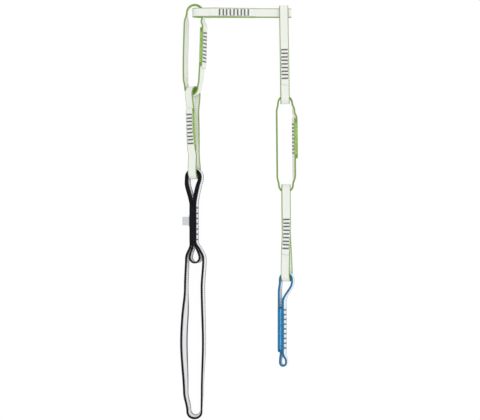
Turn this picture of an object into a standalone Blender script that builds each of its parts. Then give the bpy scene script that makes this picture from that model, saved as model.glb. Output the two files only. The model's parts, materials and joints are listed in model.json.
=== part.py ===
"""Climbing daisy chain: a sewn tether, six interlocked webbing links and an end loop.

The chain lies flat on its floor, bent into a long U. Every loop is one open strap of
flat webbing whose ends are sewn by bar tacks. Links lie flat and stand on edge in turn,
so that each bend of a flat link wraps the bend of a standing one.

Every loop is made in its own frame: X runs across the loop, Y along it, and Z along the
webbing's width. Lengths are in metres and angles in degrees.
"""

import math

import bmesh
import bpy
from mathutils import Matrix, Vector

# Webbing
strap_width = 0.0110
strap_thickness = 0.0021
ply_gap = 0.0003
ply_step = strap_thickness + ply_gap

# Bends that wrap a neighbour
bend_slack = 0.0010
flat_bend_inner = strap_width / 2 + bend_slack
doubled_bend_slack = 0.0017
doubled_bend_inner = strap_width / 2 + doubled_bend_slack
crossed_gap = 0.0005
crossed_bend_inner = strap_thickness / 2 + crossed_gap
half_strap = strap_thickness / 2

flat_bend = flat_bend_inner + half_strap
doubled_bend = doubled_bend_inner + half_strap
crossed_bend = crossed_bend_inner + half_strap
flat_level = flat_bend_inner + strap_thickness
crossed_low_level = crossed_bend + half_strap
crossed_high_level = crossed_low_level + strap_thickness + crossed_gap

# Sewn overlap of a link
overlap_length = 0.0500
overlap_ramp = 0.0070
link_tack_count = 9
link_tack_pitch = 0.0044

# Bar tacks
tack_length = 0.0078
tack_width = 0.0016
tack_proud = 0.0007
tack_thread = 0.0004
tack_gap = 0.0003
tack_overrun = 0.0010

# Bends of the standing loops, at mid webbing
standing_bend = 0.0086
wide_standing_bend = 0.0098
standing_belly = 0.0104
belly_reach = 0.0100
link_5_shoulder_reach = 0.0070

# Lean of the webbing, its upper edge to the left
link_1_foot_lean = 18.0
link_1_lean = 34.0
link_2_foot_lean = 24.0
link_2_lean = 30.0
link_5_right_lean = -14.0
link_6_lean = 15.0
tether_lean = 20.0
tether_belly_lean = 42.0
tether_toe_lean = 22.0
tether_toe_nod = 20.0
tether_block_lean = 18.0
end_loop_lean = 23.0
lean_fade = 0.0140
side_fade = 0.0060
nod_fade = 0.0300
link_1_level = 0.0120
link_1_turn = 0.0450
link_1_waist = 0.0048
link_1_waist_reach = 0.0240
link_6_turn = 0.0600
link_2_belly = 0.0101

# Reach of each link, from bend to bend, and its heading in the plan
link_1_reach = 0.0944
link_1_heading = 91.2
link_2_reach = 0.1083
link_2_heading = 88.5
link_3_reach = 0.1089
link_3_heading = 0.0
link_3_slack = 0.0045
link_3_rise = 0.0003
link_4_reach = 0.1084
link_4_heading = 90.8
link_4_inset = 0.0062
link_4_rise = 0.0058
link_5_reach = 0.1143
link_5_heading = 90.6
link_6_reach = 0.1012
link_6_heading = 90.5
crossing_level = 0.0160

# Where each link's inner ply starts, measured up the link from its lower bend
link_1_seam = 0.0265
link_2_seam = 0.0820
link_3_seam = 0.0167
link_4_seam = 0.0645
link_5_seam = 0.0890
link_6_seam = 0.0745

# Tether, of a thinner webbing
tether_strap_thickness = 0.0019
tether_ply_step = tether_strap_thickness + ply_gap
tether_eye_bend = 0.0084
tether_eye_neck = 0.0350
tether_block_length = 0.0430
tether_small_eye_bend = 0.0060
tether_small_eye_start = 0.0050
tether_small_eye_drop = 0.0202
tether_shoulder_half = 0.0107
tether_shoulder_drop = 0.0262
tether_waist_half = 0.0101
tether_waist_drop = 0.0560
tether_belly_half = 0.0122
tether_belly_drop = 0.1230
tether_hip_half = 0.0101
tether_hip_drop = 0.1830
tether_toe_bend = 0.0071
tether_toe_drop = 0.2065
tether_block_shift = -0.0005
tether_shoulder_shift = 0.0017
tether_waist_shift = 0.0001
tether_belly_shift = -0.0007
tether_toe_shift = 0.0008
tether_tack_count = 7
tether_tack_pitch = 0.0064
tether_join_share = 0.45
tether_join_gap = 0.0006

# Label
label_reach = 0.0066
label_length = 0.0104
label_thickness = 0.0005
label_leg_foot = 0.0014
label_leg_top = 0.0042
label_bend = 0.0010
label_turn = 82.0
label_fold_bend = 0.00055
label_return = 0.0044
label_gap = 0.0003
label_tacks = (3, 4)

# End loop, of a thicker webbing
end_strap_thickness = 0.0024
end_ply_step = end_strap_thickness + ply_gap
end_eye_bend = 0.00755
end_eye_hold = 0.0035
end_eye_neck_right = 0.0270
end_eye_neck_left = 0.0140
end_block_drop = 0.0315
end_block_length = 0.0578
end_block_shift = 0.0060
end_ply_setback = 0.0006
end_small_eye_bend = 0.0037
end_small_eye_drop = 0.0122
end_small_eye_hold = 0.0026
end_small_eye_shift = 0.0045
end_tack_count = 9
end_tack_pitch = 0.0058
end_block_level = 0.0082

# Levels and places that follow from the sizes above


def leaning_half(bend, lean):
    """Half the height of a flat link's bend that leans by an angle."""
    turn = math.radians(abs(lean))
    return (bend + half_strap) * math.cos(turn) + strap_width / 2 * math.sin(turn)


def nested(bend, stack):
    """How far a standing bend passes the centre of the flat bend that wraps it.

    Over the flat strap's width the standing bend curves away; this centres it in the bore.
    """
    inner = math.sqrt((bend - stack / 2) ** 2 - (strap_width / 2) ** 2)
    return (bend - inner - stack / 2) / 2


link_1_low_level = leaning_half(doubled_bend, link_1_foot_lean)
link_1_high_level = leaning_half(doubled_bend, link_1_lean)
link_6_low_level = leaning_half(flat_bend, link_6_lean)
tether_toe_level = strap_width / 2
standing_nest = nested(standing_bend, strap_thickness)
standing_foot = standing_bend - standing_nest
tether_eye_stack = tether_strap_thickness + tether_ply_step
tether_eye_place = nested(tether_eye_bend, tether_eye_stack) - tether_eye_bend
end_eye_place = nested(end_eye_bend, end_strap_thickness) - end_eye_bend
tether_block_start = tether_eye_place - tether_eye_neck
tether_block_end = tether_block_start - tether_block_length
tether_block_middle = (tether_block_start + tether_block_end) / 2
tether_toe = tether_block_end - tether_toe_drop
tether_stack = 4 * tether_strap_thickness + 3 * ply_gap
end_block_start = end_eye_place - end_block_drop
end_block_end = end_block_start - end_block_length
end_small_eye = end_block_end - end_small_eye_drop
end_small_eye_top = end_small_eye + end_small_eye_hold

# Facets
smooth_below = 50.0
facet_turn = 18.5
facet_twist = 7.0
facet_sag = 0.00012
facet_reach = 0.0240
trace_step = 0.0010
trace_turn = 3.0
snug_fineness = 2.2
weld_distance = 0.000001

# Colours: red, green, blue. Webbing is white with coloured edges, and takes their mean
green_edged_shares = (0.62, 0.70, 0.55)
black_edged_shares = (0.52, 0.53, 0.53)
blue_edged_shares = (0.53, 0.60, 0.68)
grey_thread_shares = (0.25, 0.25, 0.27)
label_shares = (0.66, 0.68, 0.70)
webbing_roughness_share = 0.80
thread_roughness_share = 0.70
label_roughness_share = 0.60


def clear_scene():
    for item in list(bpy.data.objects):
        bpy.data.objects.remove(item)


def make_material(name, colour, roughness):
    material = bpy.data.materials.new(name)
    material.use_nodes = True
    shader = material.node_tree.nodes["Principled BSDF"]
    shader.inputs["Base Color"].default_value = (*colour, 1)
    shader.inputs["Roughness"].default_value = roughness
    shader.inputs["Metallic"].default_value = 0
    return material


def green_edged_webbing(name):
    return make_material(name, green_edged_shares, webbing_roughness_share)


def black_edged_webbing(name):
    return make_material(name, black_edged_shares, webbing_roughness_share)


def blue_edged_webbing(name):
    return make_material(name, blue_edged_shares, webbing_roughness_share)


def grey_thread(name):
    return make_material(name, grey_thread_shares, thread_roughness_share)


def label_cloth(name):
    return make_material(name, label_shares, label_roughness_share)


def ease(start, end, place):
    """Share of the way from start to end, with a gentle take-off and landing."""
    if end == start:
        return float(place > start)
    share = min(max((place - start) / (end - start), 0), 1)
    return share * share * (3 - 2 * share)


def flow(keys, place):
    """Value at a place along a list of (place, value) keys, eased between them."""
    value = keys[0][1]
    for (start, first), (end, last) in zip(keys, keys[1:]):
        if place >= start:
            value = first + (last - first) * ease(start, end, place)
    return value


def arc(across, along, radius, start, end):
    """Points of an arc round a centre, from a start angle to an end angle."""
    count = math.ceil(abs(end - start) / trace_turn)
    turns = [math.radians(start + (end - start) * step / count) for step in range(count + 1)]
    return [(across + radius * math.cos(turn), along + radius * math.sin(turn)) for turn in turns]


def side(low, high, across):
    """Points up one side of a loop, its place across given by a function."""
    count = math.ceil(abs(high - low) / trace_step)
    places = [low + (high - low) * step / count for step in range(1, count)]
    return [(across(place), place) for place in places]


def ring(low_bend, high_bend, low, high, right, left, low_across=0, high_across=0):
    """Closed outline of a loop: up its right side, round, down its left side, round."""
    outline = side(low, high, right)
    outline += arc(high_across, high, high_bend, 0, 180)
    outline += side(high, low, left)
    outline += arc(low_across, low, low_bend, 180, 360)
    return outline


def rotated(outline, seam, upward):
    """The closed outline as an open one that starts where its right side passes the seam."""
    path = outline if upward else outline[::-1]
    count = len(path)

    def distance(step):
        across, along = path[step]
        following = path[(step + 1) % count][1]
        rising = following > along
        return abs(along - seam) if rising == upward else math.inf

    first = min(range(count), key=distance)
    return path[first:] + path[:first] + [path[first]]


def lengths(points):
    total = [0]
    for here, there in zip(points, points[1:]):
        total.append(total[-1] + math.dist(here, there))
    return total


def trimmed(points, reach):
    """The first part of an open outline, as long as the reach."""
    kept = [points[0]]
    run = 0
    for here, there in zip(points, points[1:]):
        step = math.dist(here, there)
        if run + step >= reach:
            share = (reach - run) / step
            kept.append(tuple(a + (b - a) * share for a, b in zip(here, there)))
            break
        kept.append(there)
        run += step
    return kept


def level(value):
    return lambda place: value


def both(lean):
    """Lean that is the same on both sides of a loop."""
    return lambda across, along: lean(along)


def sided(left, right):
    """Lean that passes from a loop's left side to its right."""

    def lean(across, along):
        share = ease(-side_fade, side_fade, across)
        return left(along) + (right(along) - left(along)) * share

    return lean


def laid(points, twist, lean, rise, nod=level(0)):
    """Lift a flat outline into space: (centre, width direction) at each of its points.

    The loop as a whole is turned about its long axis by the twist, its webbing leans by
    the lean and tips along the loop by the nod, all in degrees, and the rise moves it
    sideways. They vary along the loop, and the lean across it as well.
    """
    centres = []
    for across, along in points:
        turn = math.radians(twist(along))
        place = Vector((across * math.cos(turn), along, across * math.sin(turn)))
        centres.append(place + rise(along))
    stations = []
    for step, centre in enumerate(centres):
        before = centres[max(step - 1, 0)]
        after = centres[min(step + 1, len(centres) - 1)]
        tangent = (after - before).normalized()
        tip = math.radians(lean(*points[step]))
        dip = math.radians(nod(points[step][1]))
        width = Vector((-math.sin(tip), -math.sin(dip), math.cos(tip)))
        width = (width - tangent * width.dot(tangent)).normalized()
        stations.append((centre, width, tangent))
    return stations


def plied(stations, outward, step_out):
    """Move each station out along the webbing's normal by a distance at its run length."""
    run = lengths([station[0] for station in stations])
    moved = []
    for place, (centre, width, tangent) in zip(run, stations):
        normal = tangent.cross(width) * outward
        moved.append((centre + normal * step_out(place), width, tangent))
    return moved


def loose(run, along):
    """A strap without plies that twist together."""
    return False


def thinned(stations, snug=loose):
    """Keep only the stations that the strap's form needs, more of them for snug plies.

    Snug tells, from a station's run and its place along the loop, whether plies lie there.
    """
    run = lengths([station[0] for station in stations])
    kept = [0]
    while kept[-1] < len(stations) - 1:
        first = kept[-1]
        fineness = snug_fineness if snug(run[first], stations[first][0].y) else 1
        last = first + 1
        while last + 1 < len(stations) and spans(stations, first, last + 1, fineness):
            last += 1
        kept.append(last)
    return [stations[step] for step in kept]


def spans(stations, first, last, fineness):
    """Whether one straight facet can stand for the stations from first to last."""
    start, start_width, start_tangent = stations[first]
    end, end_width, end_tangent = stations[last]
    chord = end - start
    if chord.length > facet_reach:
        return False
    if start_tangent.angle(end_tangent) > math.radians(facet_turn):
        return False
    if start_width.angle(end_width) > math.radians(facet_twist) / fineness:
        return False
    direction = chord.normalized()
    for centre, width, tangent in stations[first + 1 : last]:
        offset = centre - start
        if (offset - direction * offset.dot(direction)).length > facet_sag / fineness:
            return False
    return True


def tilt_for(tangent, width):
    """Turn about the tangent that brings an upright curve's width to the given one."""
    upright = Vector((0, 0, 1))
    upright = (upright - tangent * upright.dot(tangent)).normalized()
    return math.atan2(tangent.dot(upright.cross(width)), upright.dot(width))


def swept_strap(name, stations, width=strap_width, thickness=strap_thickness):
    """A flat strap with rounded edges, swept through its stations and closed at its ends."""
    curve = bpy.data.curves.new(name, "CURVE")
    curve.dimensions = "3D"
    curve.twist_mode = "Z_UP"
    curve.fill_mode = "FULL"
    curve.use_fill_caps = True
    curve.extrude = width / 2 - thickness / 2
    curve.bevel_depth = thickness / 2
    curve.bevel_resolution = 1
    spline = curve.splines.new("POLY")
    spline.points.add(len(stations) - 1)
    for step, point in enumerate(spline.points):
        centre, direction, tangent = stations[step]
        before = stations[max(step - 1, 0)][0]
        after = stations[min(step + 1, len(stations) - 1)][0]
        inward = (centre - before).normalized() if step else Vector((0, 0, 0))
        onward = (after - centre).normalized() if step < len(stations) - 1 else Vector((0, 0, 0))
        point.co = (*centre, 1)
        point.tilt = tilt_for((inward + onward).normalized(), direction)
    guide = bpy.data.objects.new(name + "_guide", curve)
    bpy.context.scene.collection.objects.link(guide)
    mesh = evaluated_mesh(guide, name)
    bpy.data.objects.remove(guide)
    return new_part(name, mesh)


def evaluated_mesh(item, name):
    """The closed mesh that an object's curve or modifiers give."""
    graph = bpy.context.evaluated_depsgraph_get()
    graph.update()
    mesh = bpy.data.meshes.new_from_object(item.evaluated_get(graph))
    mesh.name = name
    cleaned = bmesh.new()
    cleaned.from_mesh(mesh)
    bmesh.ops.remove_doubles(cleaned, verts=cleaned.verts, dist=weld_distance)
    bmesh.ops.recalc_face_normals(cleaned, faces=cleaned.faces)
    cleaned.to_mesh(mesh)
    cleaned.free()
    return mesh


def new_part(name, mesh):
    part = bpy.data.objects.new(name, mesh)
    bpy.context.scene.collection.objects.link(part)
    return part


def combined(part, tool, operation):
    """Join or cut a part with a tool, keep the result and drop the tool."""
    step = part.modifiers.new(operation, "BOOLEAN")
    step.operation = operation
    step.solver = "EXACT"
    step.object = tool
    mesh = evaluated_mesh(part, part.name)
    part.modifiers.clear()
    part.data = mesh
    bpy.data.objects.remove(tool)


def bars(name, frames, along, across, spare):
    """Separate straight bars, one in each frame, each as deep as its frame and the spare."""
    mesh = bpy.data.meshes.new(name)
    shape = bmesh.new()
    for centre, tangent, width, normal, deep in frames:
        turn = Matrix((tangent, width, normal)).transposed().to_4x4()
        sized = Matrix.Diagonal((along, across, deep + spare, 1))
        bmesh.ops.create_cube(shape, size=1, matrix=Matrix.Translation(centre) @ turn @ sized)
    shape.to_mesh(mesh)
    shape.free()
    return new_part(name, mesh)


def jump_frames(frames, outward):
    """Frames of the threads that run from tack to tack, at alternate ends of the tacks."""
    tops = [
        centre + normal * outward * (deep / 2 + tack_proud - tack_thread / 2)
        for centre, tangent, width, normal, deep in frames
    ]
    jumps = []
    for step, (here, there) in enumerate(zip(tops, tops[1:])):
        tangent, width, normal, deep = frames[step][1:]
        reach = (tack_length - tack_width) / 2
        end = width * (reach if step % 2 else -reach)
        jumps.append(((here + there) / 2 + end, tangent, width, normal, tack_thread))
    return jumps


def slots(frames):
    """Cutters for the holes that the tacks fill, a little larger than the tacks."""
    spare = 2 * (tack_proud + tack_overrun)
    return bars("slots", frames, tack_width + 2 * tack_gap, tack_length + 2 * tack_gap, spare)


def sewn(name, frames, outward, pitch, straps):
    """Bar tacks through a stack of plies, as one run of thread, with their slots cut."""
    thread = bars(name, frames, tack_width, tack_length, 2 * tack_proud)
    links = bars(name + "_links", jump_frames(frames, outward), pitch, tack_width, 0)
    combined(thread, links, "UNION")
    for strap in straps:
        combined(strap, slots(frames), "DIFFERENCE")
    thread.data.materials.append(grey_thread(name))
    return thread


def frames_along(stations, outward):
    """Frames of a link's tacks, in the middle of the two plies of its overlap.

    A frame is its centre, the directions of length, width and thickness, and the depth of
    the plies that it goes through.
    """
    span = (link_tack_count - 1) * link_tack_pitch
    first = (overlap_length - span) / 2
    run = lengths([station[0] for station in stations])
    frames = []
    for number in range(link_tack_count):
        place = first + number * link_tack_pitch
        step = max(index for index, reach in enumerate(run[:-1]) if reach <= place)
        share = (place - run[step]) / (run[step + 1] - run[step])
        start, end = stations[step], stations[step + 1]
        tangent = (end[0] - start[0]).normalized()
        width = start[1].lerp(end[1], share)
        width = (width - tangent * width.dot(tangent)).normalized()
        normal = tangent.cross(width)
        centre = start[0].lerp(end[0], share) + normal * outward * ply_step / 2
        frames.append((centre, tangent, width, normal, strap_thickness + ply_step))
    return frames


def make_link(name, outline, seam, upward, twist, lean, rise):
    """One sewn link: a strap round the outline, its ends overlapped and tacked."""
    open_path = rotated(outline, seam, upward)
    path = open_path + trimmed(open_path, overlap_length)[1:]
    outward = 1 if upward else -1
    stations = laid(path, twist, lean, rise)
    total = lengths([station[0] for station in stations])[-1]
    ramp_end = total - overlap_length
    stations = plied(
        stations, outward, lambda place: ply_step * ease(ramp_end - overlap_ramp, ramp_end, place)
    )
    twists = twist(seam) != twist(0)

    def snug(run, along):
        return twists and (run < overlap_length or run > ramp_end - overlap_ramp)

    stations = thinned(stations, snug)
    webbing = swept_strap(name + "_webbing", stations)
    webbing.data.materials.append(green_edged_webbing(name + "_webbing"))
    frames = frames_along(stations, outward)
    stitching = sewn(name + "_stitching", frames, outward, link_tack_pitch, [webbing])
    return [webbing, stitching]


def new_hinge(name, place, parent=None, parent_place=Vector((0, 0, 0))):
    """An empty on a joint's axis, carried by the empty of the body before it."""
    hinge = bpy.data.objects.new(name, None)
    bpy.context.scene.collection.objects.link(hinge)
    hinge.parent = parent
    hinge.location = place - parent_place
    return hinge


def hang_parts(parts, hinge, hinge_place, origin, turn):
    """Carry a body's parts by the empty on its joint's axis."""
    for part in parts:
        part.parent = hinge
        part.location = origin - hinge_place
        part.rotation_euler = turn.to_euler()
        part.data.shade_smooth()
        part.data.set_sharp_from_angle(angle=math.radians(smooth_below))


def standing_turn(heading):
    """Turn that keeps a standing loop upright and points its length along a heading."""
    return Matrix.Rotation(math.radians(heading - 90), 3, "Z")


def flat_turn(heading):
    """Turn that lays a loop flat, its right side up, its length along a heading."""
    lay = Matrix(((0, 0, -1), (0, 1, 0), (1, 0, 0)))
    return standing_turn(heading) @ lay


def ahead(start, heading, reach):
    """The point at a reach from another, along a heading in the plan."""
    turn = math.radians(heading)
    return start + Vector((math.cos(turn), math.sin(turn), 0)) * reach


def keyed(*keys):
    """Function of a place that flows between (place, value) keys."""
    ordered = sorted(keys)
    return lambda place: flow(ordered, place)


def lifted(*keys):
    """Rise of a standing loop: its height flows between keys."""
    height = keyed(*keys)
    return lambda place: Vector((0, 0, height(place)))


def raised(*keys):
    """Rise of a flat loop, whose across direction is up."""
    height = keyed(*keys)
    return lambda place: Vector((height(place), 0, 0))


def make_link_1():
    """Leaning flat link that takes the tether's eye, closer together at its middle."""
    half = keyed(
        (0, doubled_bend),
        (link_1_waist_reach, link_1_waist),
        (link_1_reach - link_1_waist_reach, link_1_waist),
        (link_1_reach, doubled_bend),
    )
    outline = ring(doubled_bend, doubled_bend, 0, link_1_reach, half, mirrored(half))
    twist = keyed((link_1_level, link_1_foot_lean), (link_1_level + link_1_turn, link_1_lean))
    rise = raised((0, link_1_low_level), (link_1_reach, link_1_high_level))
    return make_link("link_1", outline, link_1_seam, True, twist, both(twist), rise)


def make_link_2():
    """Standing link in the bend of link 1: it leans at its middle and is upright on top."""
    head = link_2_reach - wide_standing_bend
    half = keyed(
        (standing_foot, standing_bend),
        (standing_foot + belly_reach, link_2_belly),
        (head - belly_reach, link_2_belly),
        (head, wide_standing_bend),
    )
    outline = ring(standing_bend, wide_standing_bend, standing_foot, head, half, mirrored(half))
    twist = keyed((standing_foot, link_2_foot_lean), (link_2_reach / 2, 0))
    lean = keyed(
        (standing_foot, link_2_foot_lean),
        (standing_foot + lean_fade, link_2_lean),
        (head - lean_fade, link_2_lean),
        (head, 0),
    )
    rise = lifted((0, link_1_high_level), (link_2_reach, flat_level))
    return make_link("link_2", outline, link_2_seam, False, twist, both(lean), rise)


def make_link_3():
    """Flat link across the top: open round link 2, closed down round link 4."""
    level_end = link_3_reach - crossing_level
    front = keyed((0, flat_level + flat_bend), (level_end, crossed_low_level + crossed_bend))
    back = keyed((0, flat_level - flat_bend), (level_end, crossed_low_level - crossed_bend))
    outline = ring(
        flat_bend, crossed_bend, 0, link_3_reach, front, back, flat_level, crossed_low_level
    )
    lean = both(level(0))
    return make_link("link_3", outline, link_3_seam, True, level(0), lean, raised((0, 0)))


def make_link_4():
    """Flat link down the right: closed round the top ply of link 3, open round link 5."""
    level_end = link_4_reach - crossing_level
    front = keyed((0, flat_level + flat_bend), (level_end, crossed_high_level + crossed_bend))
    back = keyed((0, flat_level - flat_bend), (level_end, crossed_high_level - crossed_bend))
    outline = ring(
        flat_bend, crossed_bend, 0, link_4_reach, front, back, flat_level, crossed_high_level
    )
    lean = both(level(0))
    return make_link("link_4", outline, link_4_seam, False, level(0), lean, raised((0, 0)))


def make_link_5():
    """Standing link between two flat ones, upright on its left and leaning on its right."""
    head = link_5_reach - standing_foot
    half = keyed(
        (standing_foot, standing_bend),
        (standing_foot + belly_reach, standing_belly),
        (head - belly_reach, standing_belly),
        (head, standing_bend),
    )
    right_half = keyed(
        (standing_foot, standing_bend),
        (standing_foot + belly_reach, standing_belly),
        (head - link_5_shoulder_reach, standing_belly),
        (head, standing_bend),
    )
    outline = ring(standing_bend, standing_bend, standing_foot, head, right_half, mirrored(half))
    right_lean = keyed(
        (standing_foot, 0),
        (standing_foot + lean_fade, link_5_right_lean),
        (head - lean_fade, link_5_right_lean),
        (head, 0),
    )
    lean = sided(level(0), right_lean)
    return make_link("link_5", outline, link_5_seam, False, level(0), lean, lifted((0, flat_level)))


def make_link_6():
    """Flat link above the end loop, turned a little at its foot."""
    outline = ring(flat_bend, flat_bend, 0, link_6_reach, level(flat_bend), level(-flat_bend))
    twist = keyed((0, link_6_lean), (link_6_turn, 0))
    rise = raised((0, link_6_low_level), (link_6_turn, flat_level))
    return make_link("link_6", outline, link_6_seam, False, twist, both(twist), rise)


def mirrored(across):
    return lambda place: -across(place)


def tether_centre(place):
    """Middle of the tether, which bows a little along its length."""
    return flow(
        [
            (tether_toe, tether_toe_shift),
            (tether_block_end - tether_belly_drop, tether_belly_shift),
            (tether_block_end - tether_waist_drop, tether_waist_shift),
            (tether_block_end - tether_shoulder_drop, tether_shoulder_shift),
            (tether_block_end, tether_block_shift),
            (tether_block_start, tether_block_shift),
            (tether_eye_place, 0),
        ],
        place,
    )


def tether_sides(half):
    return (
        lambda place: tether_centre(place) + half(place),
        lambda place: tether_centre(place) - half(place),
    )


def tether_twist(place):
    """Turn of the whole tether about its length, which fades out below the sewn part."""
    return flow(
        [(tether_block_end - tether_waist_drop, 0), (tether_block_end, tether_block_lean)], place
    )


def tether_left_lean(place):
    """Lean of the webbing on the tether's left side, which is most at the belly."""
    return flow(
        [
            (tether_toe, tether_toe_lean),
            (tether_block_end - tether_belly_drop, tether_belly_lean),
            (tether_block_end - tether_waist_drop, tether_lean),
            (tether_block_end, tether_block_lean),
        ],
        place,
    )


def tether_right_lean(place):
    """Lean of the webbing on the tether's right side, upright at the toe."""
    return flow(
        [
            (tether_toe, 0),
            (tether_toe + lean_fade, tether_lean),
            (tether_block_end - tether_waist_drop, tether_lean),
            (tether_block_end, tether_block_lean),
        ],
        place,
    )


def tether_nod(place):
    """Tip of the webbing at the toe: its upper edge is further out."""
    return flow([(tether_toe, tether_toe_nod), (tether_toe + nod_fade, 0)], place)


def tether_ring(name, outline, material):
    """One closed loop of the tether, its ends butted in the sewn part."""
    seam = tether_block_start - tether_block_length * tether_join_share
    open_path = rotated(outline, seam, True)
    path = trimmed(open_path, lengths(open_path)[-1] - tether_join_gap)
    rise = lifted((tether_toe, tether_toe_level), (0, link_1_low_level))
    lowest = tether_block_end - tether_small_eye_drop
    lean = sided(tether_left_lean, tether_right_lean)
    stations = laid(path, tether_twist, lean, rise, tether_nod)
    stations = thinned(stations, lambda run, along: along > lowest)
    webbing = swept_strap(name, stations, thickness=tether_strap_thickness)
    webbing.data.materials.append(material)
    return webbing


def tether_half(place):
    """Half the width across the outer loop, at mid webbing, from its toe to its eye."""
    return flow(
        [
            (tether_toe, tether_toe_bend),
            (tether_block_end - tether_hip_drop, tether_hip_half),
            (tether_block_end - tether_belly_drop, tether_belly_half),
            (tether_block_end - tether_waist_drop, tether_waist_half),
            (tether_block_end - tether_shoulder_drop, tether_shoulder_half),
            (tether_block_end, tether_ply_step + tether_ply_step / 2),
            (tether_block_start, tether_ply_step + tether_ply_step / 2),
            (tether_eye_place, tether_eye_bend + tether_ply_step / 2),
        ],
        place,
    )


def make_tether_outer():
    """Outer loop: the eye's outer ply, the outer plies of the sewn part, the long loop."""
    right, left = tether_sides(tether_half)
    bend = tether_eye_bend + tether_ply_step / 2
    shift = tether_toe_shift
    outline = ring(tether_toe_bend, bend, tether_toe, tether_eye_place, right, left, shift)
    return tether_ring("tether_webbing", outline, black_edged_webbing("tether_webbing"))


def make_tether_inner():
    """Inner loop: the eye's inner ply, the middle plies and the small eye below them."""
    low = tether_block_end - tether_small_eye_drop
    small_eye_half = keyed(
        (low, tether_small_eye_bend),
        (tether_block_end - tether_small_eye_start, tether_ply_step / 2),
    )

    def half(place):
        if place < tether_block_end:
            return small_eye_half(place)
        slope = (tether_half(place + trace_step) - tether_half(place - trace_step)) / trace_step / 2
        return tether_half(place) - tether_ply_step * math.hypot(1, slope)

    right, left = tether_sides(half)
    bend = tether_eye_bend - tether_ply_step / 2
    shift = tether_centre(low)
    outline = ring(tether_small_eye_bend, bend, low, tether_eye_place, right, left, shift)
    return tether_ring("tether_inner_loop", outline, black_edged_webbing("tether_inner_loop"))


def block_frame(place, across, lean, height, deep):
    """Frame in a sewn part: its centre, length, width and thickness directions, its depth."""
    turn = math.radians(lean)
    width = Vector((-math.sin(turn), 0, math.cos(turn)))
    normal = Vector((math.cos(turn), 0, math.sin(turn)))
    centre = Vector((0, place, height)) + normal * across
    return (centre, Vector((0, 1, 0)), width, normal, deep)


def tether_height(place):
    return flow([(tether_toe, tether_toe_level), (0, link_1_low_level)], place)


def tether_frame(number):
    """Frame of a tether tack: those that hold the label go through its leg as well."""
    place = tether_block_middle + (number - (tether_tack_count - 1) / 2) * tether_tack_pitch
    held = label_gap + label_thickness if number in label_tacks else 0
    across = tether_block_shift - held / 2
    return block_frame(
        place, across, tether_block_lean, tether_height(place), tether_stack + held
    )


def make_label():
    """Folded cloth tab: a leg on the sewn part, a bend, and a tab folded back on itself."""
    leg = -(tether_stack / 2 + label_gap + label_thickness / 2)
    path = [(leg, -label_leg_foot)]
    path += arc(leg - label_bend, label_leg_top, label_bend, 0, label_turn)
    heading = math.radians(90 + label_turn)
    onward = Vector((math.cos(heading), math.sin(heading)))
    sideways = Vector((onward.y, -onward.x))
    tip = Vector(path[-1]) + onward * label_reach
    path.append(tuple(tip))
    pivot = tip - sideways * label_fold_bend
    start = math.degrees(math.atan2(sideways.y, sideways.x))
    path += arc(pivot.x, pivot.y, label_fold_bend, start, start + 180)[1:]
    path.append(tuple(Vector(path[-1]) - onward * label_return))
    flat = [Vector((across, along, 0)) for across, along in path]
    stations = []
    for step, centre in enumerate(flat):
        before = flat[max(step - 1, 0)]
        after = flat[min(step + 1, len(flat) - 1)]
        stations.append((centre, Vector((0, 0, 1)), (after - before).normalized()))
    label = swept_strap("tether_label", thinned(stations), label_length, label_thickness)
    label.data.materials.append(label_cloth("tether_label"))
    held = [tether_frame(number) for number in label_tacks]
    centre = (held[0][0] + held[-1][0]) / 2 + held[0][3] * (label_gap + label_thickness) / 2
    width, normal = held[0][2:4]
    frame = Matrix((normal, width, normal.cross(width))).transposed().to_4x4()
    label.data.transform(Matrix.Translation(centre) @ frame)
    return label


def make_tether():
    """Tether: two nested loops, their tacks and the label that the tacks hold."""
    outer = make_tether_outer()
    inner = make_tether_inner()
    label = make_label()
    frames = [tether_frame(number) for number in range(tether_tack_count)]
    stitching = sewn("tether_stitching", frames, 1, tether_tack_pitch, [outer, inner, label])
    return [outer, inner, stitching, label]


def make_end_loop():
    """End loop: one strap, three plies deep in its sewn part, with an eye at each end."""
    middle = -end_block_shift
    right_ply = middle + end_ply_step
    left_ply = middle - end_ply_step
    small = -end_small_eye_shift
    down = keyed((end_block_end, middle), (end_small_eye_top, small - end_small_eye_bend))
    up = keyed(
        (end_small_eye_top, small + end_small_eye_bend),
        (end_block_end, right_ply),
        (end_eye_place - end_eye_neck_right, right_ply),
        (end_eye_place - end_eye_hold, end_eye_bend),
    )
    back = keyed(
        (end_eye_place - end_eye_neck_left, left_ply),
        (end_eye_place - end_eye_hold, -end_eye_bend),
    )
    path = side(end_block_start - end_ply_setback, end_small_eye, down)
    path += arc(small, end_small_eye, end_small_eye_bend, 180, 360)
    path += side(end_small_eye, end_eye_place, up)
    path += arc(0, end_eye_place, end_eye_bend, 0, 180)
    path += side(end_eye_place, end_block_end, back)
    twist = keyed(
        (end_small_eye_top, 0),
        (end_block_end, end_loop_lean),
        (end_block_start, end_loop_lean),
        (end_eye_place, link_6_lean),
    )
    rise = lifted(
        (end_small_eye_top, strap_width / 2),
        (end_block_end, end_block_level),
        (end_block_start, end_block_level),
        (end_eye_place, link_6_low_level),
    )
    stations = thinned(laid(path, twist, both(twist), rise))
    webbing = swept_strap("end_loop_webbing", stations, thickness=end_strap_thickness)
    webbing.data.materials.append(blue_edged_webbing("end_loop_webbing"))
    span = (end_tack_count - 1) * end_tack_pitch
    first = end_block_end + (end_block_length - span) / 2
    places = [first + number * end_tack_pitch for number in range(end_tack_count)]
    stack = end_strap_thickness + 2 * end_ply_step
    frames = [
        block_frame(place, middle, end_loop_lean, end_block_level, stack) for place in places
    ]
    stitching = sewn("end_loop_stitching", frames, 1, end_tack_pitch, [webbing])
    return [webbing, stitching]


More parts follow.
